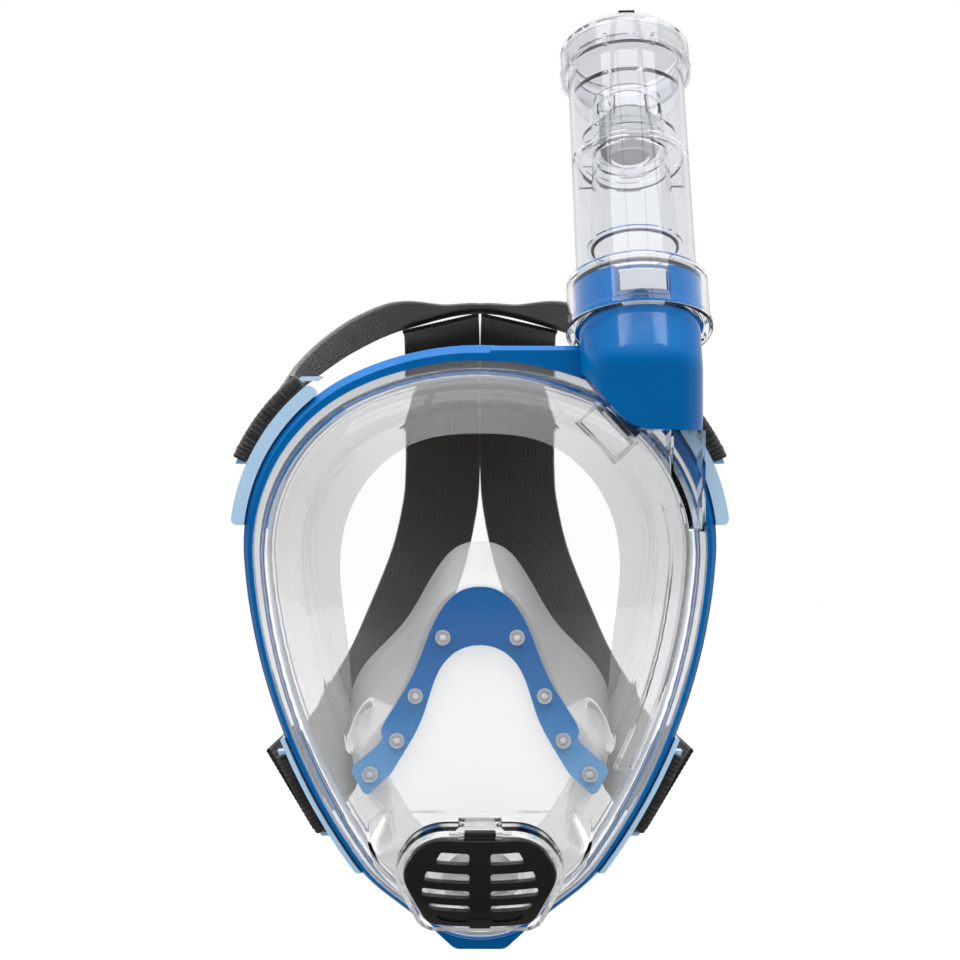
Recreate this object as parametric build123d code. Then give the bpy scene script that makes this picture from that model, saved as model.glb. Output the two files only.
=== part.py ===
from build123d import *
from math import cos, radians, sin
import os

os.makedirs("parts", exist_ok=True)

# Full-face snorkel mask, in millimetres. +Z is up, the lens looks along -Y and the snorkel stands on
# the +X side. The origin is the middle of the opening that seals against the wearer's face.

# ---- Driving dimensions ------------------------------------------------------------------------

TOP_Z = 110.0                 # top of the mask outline
# Half outline from the top centre: radius and turn of each tangent arc
CROWN_ARC = (120.0, 25.0)
SHOULDER_ARC = (76.0, 69.0)
CHEEK_ARC = (235.0, 32.0)
JAW_ARC = (55.0, 17.0)
CHIN_ARC = (40.0, 37.0)

TOP_SHIFT = 2.4               # the inner outlines sit lower, so the frame is widest at the top
FRAME_BAND = 3.2              # width of the frame's wall, seen from the side of the mask
FRAME_LIP = 3.9               # the front lip reaches over the edge of the lens
FRAME_FRONT = -57.0
FRAME_BACK = -42.0
FIT = 0.2                     # gap between parts that are clamped together
RUN = 0.3                     # gap between parts that move past each other

LENS_WALL = 2.6
LENS_FRONT = -86.0
LENS_BACK = -52.2             # back of the flange that the frame clamps
SKIRT_WALL = 2.2
FACE_RADIUS = 110.0           # the sealing lip is curved about an upright axis like a forehead
FACE_AXIS_Y = 106.0

PURGE_TILT = 27.0             # the chin port faces forward and down by this angle
PURGE_CENTRE = (0.0, -72.3, -98.5)

TUBE_LEAN_BACK = 22.0
TUBE_LEAN_IN = 1.0
SOCKET_CENTRE = (63.7, -52.0, 120.0)
TUBE_RADIUS = 24.25
TUBE_WALL = 2.0
COLLAR_RADIUS = 28.5
COLLAR_BOTTOM = -6.0
LIP_RADIUS = 29.4
CAP_RADIUS = 27.2

WEBBING_WIDTH = 38.0
WEBBING_THICKNESS = 2.0


# ---- Helpers -----------------------------------------------------------------------------------

def heading_vector(angle):
    return Vector(cos(radians(angle)), sin(radians(angle)))


def outline(inset):
    """Face inside the mask outline moved inward by inset, drawn in X and Z."""
    shift = TOP_SHIFT * min(max(inset / FRAME_LIP, 0), 1)
    point = Vector(0, TOP_Z - inset - shift)
    heading = 180.0
    half = Curve()
    for radius, turn in (CROWN_ARC, SHOULDER_ARC, CHEEK_ARC, JAW_ARC):
        arc = JernArc(point, heading_vector(heading), radius - inset, turn)
        half += arc
        point = arc @ 1
        heading += turn
    chin_radius, chin_turn = CHIN_ARC
    chin_reach = (chin_radius - inset) * sin(radians(chin_turn))
    jaw_run = (-point.X - chin_reach) / cos(radians(heading))
    jaw_end = point + heading_vector(heading) * jaw_run
    half += Line(point, jaw_end)
    half += JernArc(jaw_end, heading_vector(heading), chin_radius - inset, chin_turn)
    return make_face(half + mirror(half, Plane.YZ))


def slab(sketch, front, back):
    """A sketch drawn in X and Z, made solid from y = front to y = back."""
    return extrude(Plane.XZ.offset(-back) * sketch, back - front)


def band(outer_inset, inner_inset, front, back):
    return slab(outline(outer_inset) - outline(inner_inset), front, back)


def stack(stations):
    """Solid through outlines given as (y, inset), from back to front."""
    return loft([Plane.XZ.offset(-y) * outline(inset) for y, inset in stations])


def block(low, high):
    size = [b - a for a, b in zip(low, high)]
    centre = [(a + b) / 2 for a, b in zip(low, high)]
    return Pos(*centre) * Box(*size)


def both_sides(solid):
    return (("left", solid), ("right", mirror(solid, Plane.YZ)))


LENS_STATIONS = [(-54.6, 6.6), (-62, 7.2), (-71, 9.4), (-78.5, 13.4), (-83.8, 19.5), (LENS_FRONT, 27)]


def lens_stack(grow):
    """The lens bulge as a solid, moved outward all round by grow."""
    base_inset = LENS_STATIONS[0][1]
    slope_range = LENS_STATIONS[-1][1] - base_inset
    return stack([(y - grow * (inset - base_inset) / slope_range, inset - grow * min(1, (34 - inset) / 20))
                  for y, inset in LENS_STATIONS])


parts = {}

# ---- Frames of reference of the sub-assemblies -------------------------------------------------

# Chin port: local Z points out of the port, local Y up along it
purge_plane = Plane(PURGE_CENTRE, x_dir=(1, 0, 0),
                    z_dir=(0, -cos(radians(PURGE_TILT)), -sin(radians(PURGE_TILT))))

# Snorkel: local Z runs up the tube, local Y points to the back, and local Z = 0 is in the socket
tube_axis = Vector(-sin(radians(TUBE_LEAN_IN)),
                   sin(radians(TUBE_LEAN_BACK)) * cos(radians(TUBE_LEAN_IN)),
                   cos(radians(TUBE_LEAN_BACK)) * cos(radians(TUBE_LEAN_IN)))
tube_plane = Plane(SOCKET_CENTRE, x_dir=(1, 0, tube_axis.X * -1 / tube_axis.Z), z_dir=tube_axis)


def rod(radius, low, high):
    """Cylinder on the snorkel axis, in the snorkel's own frame."""
    return Pos(0, 0, (low + high) / 2) * Cylinder(radius, high - low)


def pipe(outer, inner, low, high):
    return rod(outer, low, high) - rod(inner, low - 1, high + 1)


# ---- Elbow: a hood that carries the snorkel beside the lens ------------------------------------

NECK_RADIUS = 25.7
NECK_TOP = 12.0
ELBOW_WALL = 2.2
ELBOW_BACK = FRAME_FRONT - FIT
HOOD_SHELF = TOP_Z + 1.5
HOOD_BEND = -22.0             # where the leaning tube axis turns upright, along the snorkel
GROOVE_WIDTH = 20.5


def hood_profile(inset):
    """Front view of the hood: upright sides, a sloping lower inner corner and a flat bottom."""
    left = 38.0 + inset
    right = 92.0 - inset
    bottom = 75.5 + inset
    corner = FilletPolyline((left, 160), (left, 101 + inset / 3), (58 + inset / 2, bottom),
                            (right, bottom), (right, 160), (left, 160),
                            radius=[0.5, 14, 20, 3, 0.5], close=True)
    return make_face(corner)


def hood(inset):
    """Solid hood reduced all round by inset; below its shelf it stands in front of the frame."""
    radius = TUBE_RADIUS - inset
    bend = Vector(*SOCKET_CENTRE) + tube_axis * HOOD_BEND
    barrel = tube_plane * rod(radius, HOOD_BEND, -4)
    barrel += Pos(bend) * Sphere(radius)
    barrel += Pos(bend.X, bend.Y, bend.Z - 30) * Cylinder(radius, 60)
    frame_room = block((0, ELBOW_BACK - inset, 0), (120, 60, HOOD_SHELF + inset))
    return (barrel & slab(hood_profile(inset), -130, 60)) - frame_room


hood_outside = hood(0)
neck = rod(NECK_RADIUS, -4, NECK_TOP)
latch_groove = Pos(0, -25, 6) * Box(GROOVE_WIDTH, 20, 18) - Pos(0, 1.5, 0) * rod(25.6, -20, 30)
neck = tube_plane * (neck - latch_groove)
shoulder_inside = tube_plane * rod(TUBE_RADIUS - ELBOW_WALL, -12, NECK_TOP + 1)
elbow = hood_outside + neck - hood(ELBOW_WALL) - shoulder_inside

# Rectangular inlet nozzle beside the sloping corner of the hood
DUCT_LENGTH_ACROSS = 22.4
DUCT_DEPTH_ACROSS = 12.2
DUCT_WALL = 1.4
DUCT_CENTRE = (49.8, 74.7)
DUCT_TURN = -47.0
duct_place = Pos(DUCT_CENTRE[0], DUCT_CENTRE[1]) * Rot(0, 0, DUCT_TURN)
duct_outer = duct_place * Rectangle(DUCT_LENGTH_ACROSS, DUCT_DEPTH_ACROSS)
duct_inner = duct_place * Rectangle(DUCT_LENGTH_ACROSS - 2 * DUCT_WALL, DUCT_DEPTH_ACROSS - 2 * DUCT_WALL)
DUCT_FRONT = -72.5
DUCT_BACK = -58.5
inlet = slab(duct_outer - duct_inner, DUCT_FRONT, DUCT_BACK)
# Port between hood and nozzle, through the sloping wall
port_place = duct_place * Pos(0, DUCT_DEPTH_ACROSS / 2 + 1)
port_hole = slab(port_place * Rectangle(14, 9), -70, -62)
gasket_body = slab(port_place * Pos(0, 0.9) * Rectangle(18, 4.6), -71.5, -60.5)
elbow -= port_hole
gasket = gasket_body - hood_outside - slab(duct_outer, DUCT_FRONT, DUCT_BACK) - port_hole
lens_room = lens_stack(-LENS_WALL - FIT)
inlet = (inlet - port_hole) & lens_room
gasket &= lens_room

# Breath out leaves through a channel inside the right-hand rim, then an upright duct outside the lens
EXHAUST_INSET = 11.6
EXHAUST_WIDTH = 7.5
EXHAUST_FRONT = -66.0
EXHAUST_BACK = -57.5
EXHAUST_WALL = 1.2
CHANNEL_TOP = 47.0
channel_zone = block((20, -100, -58), (110, 0, CHANNEL_TOP))
channel = band(EXHAUST_INSET, EXHAUST_INSET + EXHAUST_WIDTH, EXHAUST_FRONT, EXHAUST_BACK)
channel_core = band(EXHAUST_INSET + EXHAUST_WALL, EXHAUST_INSET + EXHAUST_WIDTH - EXHAUST_WALL,
                    EXHAUST_FRONT + EXHAUST_WALL, EXHAUST_BACK - EXHAUST_WALL)
exhaust_port = block((73, -64.5, 39), (86, -59.5, 45))
side_channel = (channel & channel_zone) - channel_core - exhaust_port
UPRIGHT_LOW = (74.0, -78.0, 36.0)
UPRIGHT_HIGH = (87.4, -57.6, 75.3)


def upright_duct(inset):
    low = [value + inset for value in UPRIGHT_LOW]
    high = [value - inset for value in UPRIGHT_HIGH]
    return block(low, high) - lens_stack(inset)


exhaust = upright_duct(0) - upright_duct(EXHAUST_WALL) - exhaust_port
flap_port = block((78.4, -69.0, 72), (82.4, -61.0, 80))
exhaust -= flap_port
elbow -= flap_port

parts["air_elbow"] = elbow
parts["inlet_duct"] = inlet
parts["port_gasket"] = gasket
parts["side_channel"] = side_channel
parts["exhaust_duct"] = exhaust
FLAP_Z = 78.1
FLAP_HINGE_X = 77.6
flap = block((FLAP_HINGE_X, -69.8, FLAP_Z), (83.0, -60.2, FLAP_Z + 0.8))
flap += Pos(FLAP_HINGE_X, -65.0, FLAP_Z + 0.4) * Rot(90, 0, 0) * Cylinder(0.4, 9.6)
parts["exhaust_flap"] = flap

# ---- Frame, lens and retainer ring -------------------------------------------------------------

lens_outer = lens_stack(0)
lens_inner = lens_stack(-LENS_WALL)
beyond = 60.0
chin_outside = purge_plane * block((-90, -beyond, 0), (90, beyond, beyond))
chin_inside = purge_plane * block((-90, -beyond, -LENS_WALL), (90, beyond, beyond))
lens = (lens_outer - chin_outside) - (lens_inner - chin_inside)
lens += band(FRAME_BAND + FIT, LENS_STATIONS[0][1] + LENS_WALL, LENS_STATIONS[0][0], LENS_BACK)

SKIRT_FLANGE_FRONT = -51.8
SKIRT_FLANGE_BACK = -47.0
FRAME_BEVEL = 2.0
BEVEL_BACK = -54.0
LIP_BACK = LENS_STATIONS[0][0] - FIT
frame_front = stack([(BEVEL_BACK, 0), (FRAME_FRONT, FRAME_BEVEL)])
frame_front -= slab(outline(FRAME_LIP), FRAME_FRONT - 1, BEVEL_BACK + 1)
frame_front -= slab(outline(FRAME_BAND), LIP_BACK, BEVEL_BACK + 1)
frame = band(0, FRAME_BAND, BEVEL_BACK, FRAME_BACK) + frame_front
# Chin bumper: a flat-bottomed block under the port
bumper_outline = FilletPolyline((-30, -112), (-10, -130.4), (10, -130.4), (30, -112), (-30, -112),
                                radius=[0.5, 5, 5, 0.5], close=True)
bumper = slab(make_face(bumper_outline), FRAME_FRONT - 2, FRAME_BACK)
frame += bumper - slab(outline(FRAME_BAND), -90, 0)
# The top edge runs on level to the elbow
bridge_top = TOP_Z - 0.4
bridge = block((4, BEVEL_BACK, 94), (50, FRAME_BACK, bridge_top))
bridge_front = block((4, FRAME_FRONT, 94), (50, BEVEL_BACK, bridge_top))
bridge += chamfer(bridge_front.edges().group_by(Axis.Y)[0].group_by(Axis.Z)[-1], FRAME_BEVEL - 0.1)
frame += bridge - slab(outline(FRAME_BAND), -90, 0)
frame -= tube_plane * rod(LIP_RADIUS + 0.5, COLLAR_BOTTOM - 0.6, 40)
lens -= hood(-FIT) + exhaust_port

RETAINER_INSET = 9.2
retainer = band(FRAME_BAND + FIT, RETAINER_INSET, SKIRT_FLANGE_BACK + 0.4, FRAME_BACK - 1.2)
parts["frame"] = frame
parts["skirt_retainer"] = retainer

# ---- Silicone skirt ----------------------------------------------------------------------------


def skirt_stack(inward):
    """The skirt's bulge as a solid, drawn inward by that much."""
    stations = [(46, 21.5), (12, 21.0), (-14, 17.0), (-34, 11.0), (-47, 9.4), (-66, 9.4)]
    return stack([(y, inset + inward) for y, inset in stations])


skirt_front_room = block((-200, -100, -200), (200, SKIRT_FLANGE_FRONT, 200))
skirt_outer = skirt_stack(0) - skirt_front_room
skirt_inner = skirt_stack(SKIRT_WALL)
head = Pos(0, FACE_AXIS_Y, 0) * Cylinder(FACE_RADIUS, 400)
head_skin = Pos(0, FACE_AXIS_Y, 0) * Cylinder(FACE_RADIUS + SKIRT_WALL, 400)
far_back = block((-200, 24, -200), (200, 300, 200))

# Opening for the face: round over the brow, narrowing to the chin
face_half = Curve() + Spline((0, 75.8), (-32, 70), (-54, 48), (-61, 18), (-57, -18), (-52, -48),
                             (-38, -80), (0, -98), tangents=[(-1, 0), (1, 0)])
face_opening = make_face(face_half + mirror(face_half, Plane.YZ))
skirt = (skirt_outer - skirt_inner) + (skirt_outer & head_skin)
skirt = skirt - head - far_back - slab(face_opening, -60, 60)
skirt += band(FRAME_BAND + FIT, RETAINER_INSET + 0.6, SKIRT_FLANGE_FRONT, SKIRT_FLANGE_BACK)

# ---- Nose and mouth pocket ---------------------------------------------------------------------

POCKET_WALL = 1.8
POCKET_FRONT = -63.0
POCKET_BACK = 12.0


def pocket_section(points, y):
    """Closed symmetric outline through points on its left half, from top to bottom."""
    half = Curve() + Spline(*points, tangents=[(-1, 0), (1, 0)])
    return Plane.XZ.offset(-y) * make_face(half + mirror(half, Plane.YZ))


pocket_back = [(0, 34), (-17, 24), (-33, -2), (-50, -22), (-55, -50), (-41, -80), (0, -98)]
pocket_front = [(0, 15), (-15, 8), (-25, -12), (-37.5, -38), (-49, -61), (-36, -88), (0, -104)]


def shrunk(points, amount):
    """The same outline drawn inward, sideways and from its top and bottom."""
    middle_z = -35
    result = []
    for x, z in points:
        step_z = -amount if z > middle_z else amount
        result.append((x + amount if x < 0 else 0, z + step_z))
    return result


def pocket_body(amount, front):
    """Solid pocket drawn inward by amount, kept inside the skirt."""
    body = loft([pocket_section(shrunk(pocket_back, amount), POCKET_BACK),
                 pocket_section(shrunk(pocket_front, amount), front)])
    return body & skirt_stack(SKIRT_WALL + FIT + amount)


pocket_outer = pocket_body(0, POCKET_FRONT)
pocket_inner = pocket_body(POCKET_WALL, POCKET_FRONT + POCKET_WALL)

PORT_TOP = 20.9
PORT_BOTTOM = -21.3
port_corners = [(-22, PORT_TOP), (22, PORT_TOP), (31.5, 3),
                (21, PORT_BOTTOM), (-21, PORT_BOTTOM), (-31.5, 3)]
port_shape = make_face(FilletPolyline(*port_corners, port_corners[0], close=True,
                                      radius=[16, 16, 14, 6, 6, 14]))


def port_oval(grow):
    return offset(port_shape, grow) if grow else port_shape


SLEEVE_FRONT = -4.3
sleeve = purge_plane * Pos(0, 0, SLEEVE_FRONT - 9) * extrude(port_oval(-5), 9)
sleeve_core = purge_plane * Pos(0, 0, SLEEVE_FRONT - 30) * extrude(port_oval(-6.8), 34)
sleeve_core &= block((-60, -100, -112), (60, -45, -60))
pocket = pocket_outer + sleeve - pocket_inner - sleeve_core - head

# Inhale valves through both flanks
VALVE_CENTRE = (-45.0, -34.0, -46.0)
VALVE_SEAT_RADIUS = 12.0
valve_plane = Plane(VALVE_CENTRE, x_dir=(0, 1, 0), z_dir=(-0.86, -0.30, 0.42))


def valve_seat():
    ring = Cylinder(VALVE_SEAT_RADIUS, 9) - Cylinder(VALVE_SEAT_RADIUS - 1.8, 10)
    hub = Pos(0, 0, -2.5) * Cylinder(2.6, 2)
    spokes = hub
    for step in range(3):
        spokes += Pos(0, 0, -2.5) * Rot(0, 0, 60 * step) * Box(2 * VALVE_SEAT_RADIUS - 2, 1.4, 2)
    return ring + spokes - Pos(0, 0, -2.5) * Cylinder(0.9, 3)


def valve_flap():
    disc = Pos(0, 0, -4.2) * Cylinder(VALVE_SEAT_RADIUS - 2.4, 0.8)
    return disc + Pos(0, 0, -3.0) * Cylinder(0.6, 3.2)


seat_hole = valve_plane * Cylinder(VALVE_SEAT_RADIUS + 0.05, 9.4)
pocket = pocket - seat_hole - mirror(seat_hole, Plane.YZ)
skirt -= pocket_body(-FIT, POCKET_FRONT)
parts["face_skirt"] = skirt
parts["nose_pocket"] = pocket
for side, seat in both_sides(valve_plane * valve_seat()):
    parts[f"inhale_valve_seat_{side}"] = seat
for side, flap in both_sides(valve_plane * valve_flap()):
    parts[f"inhale_valve_{side}"] = flap

# ---- Bracket and its studs on the pocket -------------------------------------------------------

BRACKET_THICKNESS = 3.0
BRACKET_BACK = POCKET_FRONT - FIT
bracket_outer = [(0, 14), (-11, 10), (-19, -2), (-29, -25.5), (-39, -43.5), (-47, -54)]
bracket_foot = [(-51, -58), (-45, -69)]
bracket_inner = [(-35, -59.5), (-22.5, -37), (-14.5, -16.5), (0, -9)]
bracket_half = Curve() + Spline(*bracket_outer, tangents=[(-1, 0), (-0.75, -0.6)])
bracket_half += Polyline(bracket_outer[-1], *bracket_foot, bracket_inner[0])
bracket_half += Spline(*bracket_inner, tangents=[(0.5, 0.85), (1, 0)])
bracket_face = make_face(bracket_half + mirror(bracket_half, Plane.YZ))
BRACKET_FOOT_RADIUS = 2.5
bracket_face = fillet(bracket_face.vertices().sort_by(Axis.Y)[:6], BRACKET_FOOT_RADIUS)
bracket = slab(bracket_face, BRACKET_BACK - BRACKET_THICKNESS, BRACKET_BACK)

STUD_HEAD_RADIUS = 3.0
STUD_GROOVE_RADIUS = 1.7
STUD_SHANK_RADIUS = 1.3
STUD_HEAD_HEIGHT = 1.5
stud_places = [(-14.6, -5.9), (-25.4, -28.9), (-32.7, -46.4), (-43.1, -59.6)]
studs = Part()
for x, z in stud_places + [(-x, z) for x, z in stud_places]:
    # Local Z of a stud points out of the bracket's front face
    place = Pos(x, BRACKET_BACK - BRACKET_THICKNESS, z) * Rot(90, 0, 0)
    shank = Pos(0, 0, -2) * Cylinder(STUD_SHANK_RADIUS, 7)
    head_disc = Pos(0, 0, STUD_HEAD_HEIGHT / 2) * Cylinder(STUD_HEAD_RADIUS, STUD_HEAD_HEIGHT)
    groove = Cylinder(STUD_GROOVE_RADIUS + 0.5, 1) - Cylinder(STUD_GROOVE_RADIUS - 0.4, 1)
    hole = place * Cylinder(STUD_SHANK_RADIUS + 0.05, 20)
    bracket -= hole
    parts["nose_pocket"] -= hole
    studs += place * (shank + head_disc - Pos(0, 0, STUD_HEAD_HEIGHT) * groove)
parts["pocket_bracket"] = bracket
parts["bracket_studs"] = studs

# ---- Purge valve in the chin -------------------------------------------------------------------

SEAT_TOP = 1.5
SEAT_BOTTOM = -4.0
SEAT_RIM = 2.8                # the seat stands out round the cover by this much
HINGE_Y = 23.2
HINGE_Z = 3.6
KNUCKLE_RADIUS = 2.2
KNUCKLE_HALF = 6.2
EAR_OUTSIDE = 8.4
PIN_RADIUS = 1.0
DOME_RADIUS = 110.0
COVER_CROWN = 7.4


def port_prism(grow, low, high):
    return Pos(0, 0, low) * extrude(port_oval(grow), high - low)


def hinge_rod(radius, low_x, high_x):
    return Pos((low_x + high_x) / 2, HINGE_Y, HINGE_Z) * Rot(0, 90, 0) * Cylinder(radius, high_x - low_x)


VALVE_PORT_RADIUS = 13.0
SPIDER_Z = -2.2
RIM_TOP = 4.0
STEM_RADIUS = 1.2
seat = port_prism(SEAT_RIM, SEAT_BOTTOM, SEAT_TOP)
seat += port_prism(SEAT_RIM, SEAT_TOP, RIM_TOP) - port_prism(1.0, SEAT_TOP, RIM_TOP)
seat -= Cylinder(VALVE_PORT_RADIUS, 20)
# Six spokes and a hub hold the stem of the diaphragm
for step in range(3):
    seat += Pos(0, 0, SPIDER_Z) * Rot(0, 0, 60 * step) * Box(2 * VALVE_PORT_RADIUS + 1, 1.8, 3)
seat += Pos(0, 0, SPIDER_Z) * Cylinder(3.4, 3)
seat -= Pos(0, 0, SPIDER_Z) * Cylinder(STEM_RADIUS + 0.15, 5)
# Clear housing of the hinge: two ears and a bar above the knuckle
knuckle_room = KNUCKLE_RADIUS + 0.5
hinge_room = block((-KNUCKLE_HALF, 18, SEAT_TOP), (KNUCKLE_HALF, HINGE_Y + knuckle_room, 12))
hinge_room += block((-KNUCKLE_HALF, HINGE_Y - knuckle_room, HINGE_Z - knuckle_room - 0.2),
                    (KNUCKLE_HALF, HINGE_Y + knuckle_room, 12))
TAB_TOP = HINGE_Y + 4.6
TAB_BOTTOM_Z = -0.5
housing = block((-EAR_OUTSIDE, PORT_TOP + 1, TAB_BOTTOM_Z), (EAR_OUTSIDE, TAB_TOP, HINGE_Z + 1.4))
seat += fillet(housing.edges().filter_by(Axis.Z).group_by(Axis.Y)[-1], 1.6)
for ear_low, ear_high in ((-EAR_OUTSIDE, -KNUCKLE_HALF), (KNUCKLE_HALF, EAR_OUTSIDE)):
    seat += hinge_rod(KNUCKLE_RADIUS, ear_low, ear_high)
seat -= hinge_room
seat -= hinge_rod(PIN_RADIUS + 0.03, -12, 12)

diaphragm = Pos(0, 0, SEAT_TOP + 0.75) * Cylinder(VALVE_PORT_RADIUS + 2, 0.9)
diaphragm += Pos(0, 0, -0.6) * Cylinder(STEM_RADIUS, 5.4)

COVER_WALL = 2.0
RIB_HALF = 4.1                # half width of the upright rib between the slots
COVER_LIMIT = 12.0            # higher than any point of the cover


def dome_at(rise):
    """The ball that shapes the cover's outside, moved outward by rise."""
    return Pos(0, 0, COVER_CROWN + rise - DOME_RADIUS) * Sphere(DOME_RADIUS)


cover_hollow = port_prism(-COVER_WALL, SEAT_TOP - 1, COVER_LIMIT) & dome_at(-COVER_WALL)
cover = port_prism(0, SEAT_TOP + RUN, COVER_LIMIT) & dome_at(0)
cover = chamfer(cover.faces().filter_by(GeomType.SPHERE).edges(), 0.5)
cover -= cover_hollow
# Slots: height of the middle, slot height and how far out its upper and lower edges reach
slot_rows = (
    (12.9, 5.0, 15.0, 17.6),
    (4.1, 4.5, 20.6, 22.0),
    (-3.7, 3.9, 22.6, 22.6),
    (-10.9, 3.2, 22.0, 18.6),
)
for row_y, slot_height, upper_reach, lower_reach in slot_rows:
    top = row_y + slot_height / 2
    bottom = row_y - slot_height / 2
    slot = make_face(FilletPolyline((RIB_HALF, top), (upper_reach, top), (lower_reach, bottom),
                                    (RIB_HALF, bottom), (RIB_HALF, top), radius=1.2, close=True))
    for flank in (slot, mirror(slot, Plane.YZ)):
        cover -= extrude(flank, 20)
# Shallow recesses under the lowest slots, and the catch between them
RECESS_DEPTH = 0.8
CATCH_RISE = 0.6
recess_side = RIB_HALF + 0.8
recess = make_face(FilletPolyline((recess_side, -15.0), (18.5, -15.0), (15.0, -18.2), (recess_side, -18.8),
                                  (recess_side, -15.0), radius=1.0, close=True))
for flank in (recess, mirror(recess, Plane.YZ)):
    cover -= extrude(flank, 20) - dome_at(-RECESS_DEPTH)
catch = block((-RIB_HALF, PORT_BOTTOM, 3.2), (RIB_HALF, -16.4, COVER_LIMIT))
cover += catch & dome_at(CATCH_RISE) & port_prism(0, SEAT_TOP, COVER_LIMIT)
arm_half = KNUCKLE_HALF - RUN
arm = block((-arm_half, 16.5, 2.2), (arm_half, HINGE_Y, 5.0))
arm += hinge_rod(KNUCKLE_RADIUS, -arm_half, arm_half)
cover += arm - cover_hollow
cover -= hinge_rod(PIN_RADIUS + 0.05, -12, 12)

parts["purge_seat"] = purge_plane * seat
parts["purge_diaphragm"] = purge_plane * diaphragm
parts["purge_cover"] = purge_plane * cover
parts["purge_hinge_pin"] = purge_plane * hinge_rod(PIN_RADIUS, -EAR_OUTSIDE, EAR_OUTSIDE)
seat_room = purge_plane * port_prism(SEAT_RIM + 0.05, SEAT_BOTTOM - 6, 20)
tab_side = EAR_OUTSIDE + 0.05
tab_room = purge_plane * block((-tab_side, PORT_TOP, TAB_BOTTOM_Z - 0.05), (tab_side, TAB_TOP + 0.05, 20))
lens -= seat_room + tab_room
parts["lens"] = lens
parts["frame"] -= purge_plane * port_prism(SEAT_RIM + FIT, SEAT_BOTTOM, 20)

# ---- Snorkel -----------------------------------------------------------------------------------

TUBE_BOTTOM = 14.5
SEAM = 72.0
CHAMBER_TOP = 120.0
COLLAR_TOP = 17.0
O_RING_SECTION = 0.8
O_RING_Z = 13.4

tube = pipe(TUBE_RADIUS, TUBE_RADIUS - TUBE_WALL, TUBE_BOTTOM, SEAM)
chamber = pipe(TUBE_RADIUS, TUBE_RADIUS - TUBE_WALL, SEAM + 0.1, CHAMBER_TOP)
chamber += pipe(TUBE_RADIUS - TUBE_WALL + 0.01, TUBE_RADIUS - TUBE_WALL - 1.5, SEAM + 0.1, SEAM + 3)

LATCH_WIDTH = 18.0
LATCH_HEIGHT = 8.5
LATCH_Z = 4.0
LIP_TOP = -2.6
lip = fillet(rod(LIP_RADIUS, COLLAR_BOTTOM, LIP_TOP).edges(), 0.9)
collar = fillet(rod(COLLAR_RADIUS, COLLAR_BOTTOM, COLLAR_TOP).edges().group_by(Axis.Z)[-1], 1.2) + lip
collar -= rod(NECK_RADIUS + RUN, COLLAR_BOTTOM - 1, COLLAR_TOP + 1)
collar -= rod(TUBE_RADIUS + 2.4, 12.4, TUBE_BOTTOM)
collar += pipe(NECK_RADIUS + 1, TUBE_RADIUS + 0.02, TUBE_BOTTOM, COLLAR_TOP)
latch_window = Pos(0, -COLLAR_RADIUS, LATCH_Z) * Box(LATCH_WIDTH + 0.8, 14, LATCH_HEIGHT + 0.8)
collar -= latch_window
latch = pipe(COLLAR_RADIUS - 0.3, NECK_RADIUS + 0.6, LATCH_Z - LATCH_HEIGHT / 2, LATCH_Z + LATCH_HEIGHT / 2)
latch &= Pos(0, -COLLAR_RADIUS, LATCH_Z) * Box(LATCH_WIDTH, 14, LATCH_HEIGHT + 1)
o_ring = Pos(0, 0, O_RING_Z) * Torus(NECK_RADIUS - 0.2, O_RING_SECTION)

# Inner duct: a cone that keeps the breath in apart from the breath out; its foot is a flange
DUCT_FOOT = 31.0
DUCT_TOP = SEAM + 2
CONE_FOOT_RADIUS = 18.0
CONE_TAPER = 0.052            # the cone and the float cage above it narrow by this much per mm
CONE_WALL = 1.3


def cone_radius(s):
    return CONE_FOOT_RADIUS - CONE_TAPER * (s - DUCT_FOOT)


def cone(low, high):
    """Stretch of the tapered duct wall, in the snorkel's own frame."""
    outer = Pos(0, 0, (low + high) / 2) * Cone(cone_radius(low), cone_radius(high), high - low)
    inner = Pos(0, 0, (low + high) / 2) * Cone(cone_radius(low) - CONE_WALL, cone_radius(high) - CONE_WALL,
                                               high - low)
    return outer - inner


divider = cone(DUCT_FOOT, DUCT_TOP)
divider += pipe(CONE_FOOT_RADIUS + 1.6, CONE_FOOT_RADIUS - CONE_WALL, DUCT_FOOT, DUCT_FOOT + 1.6)
for step in range(2):
    web = Pos(0, 0, DUCT_TOP - 8) * Rot(0, 0, 180 * step) * Pos(18, 0, 0) * Box(8.2, 1.4, 10)
    divider += web - rod(cone_radius(DUCT_TOP) - 0.6, 0, 100)

# Dry-top valve: a float lifts its seal against the seat when the top goes under water
FLOAT_LOW = 77.6
FLOAT_HEIGHT = 15.0
FLOAT_RADIUS = 12.2
SEAT_Z = 102.8
CAGE_LOW = DUCT_TOP + 0.2
CAGE_HIGH = SEAT_Z - 0.8
cage = cone(CAGE_LOW, CAGE_HIGH) + pipe(cone_radius(CAGE_LOW) - 0.5, 8.0, CAGE_LOW, CAGE_LOW + 1.8)
cage += pipe(19.5, cone_radius(CAGE_LOW + 9) - 0.5, CAGE_LOW + 8, CAGE_LOW + 9.6)
for step in range(4):
    cage -= Rot(0, 0, 45 + 90 * step) * Pos(14, 0, 93.0) * Box(8, 9, 9)
float_body = rod(FLOAT_RADIUS, FLOAT_LOW, FLOAT_LOW + FLOAT_HEIGHT)
float_body = fillet(float_body.edges().filter_by(GeomType.CIRCLE), 1.5)
seal = rod(10.0, FLOAT_LOW + FLOAT_HEIGHT, FLOAT_LOW + FLOAT_HEIGHT + 1.6)
valve_ring = pipe(TUBE_RADIUS - TUBE_WALL - 0.1, 8.0, SEAT_Z, SEAT_Z + 2)
valve_ring += pipe(9.0, 8.0, SEAT_Z - 0.7, SEAT_Z)

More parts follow.
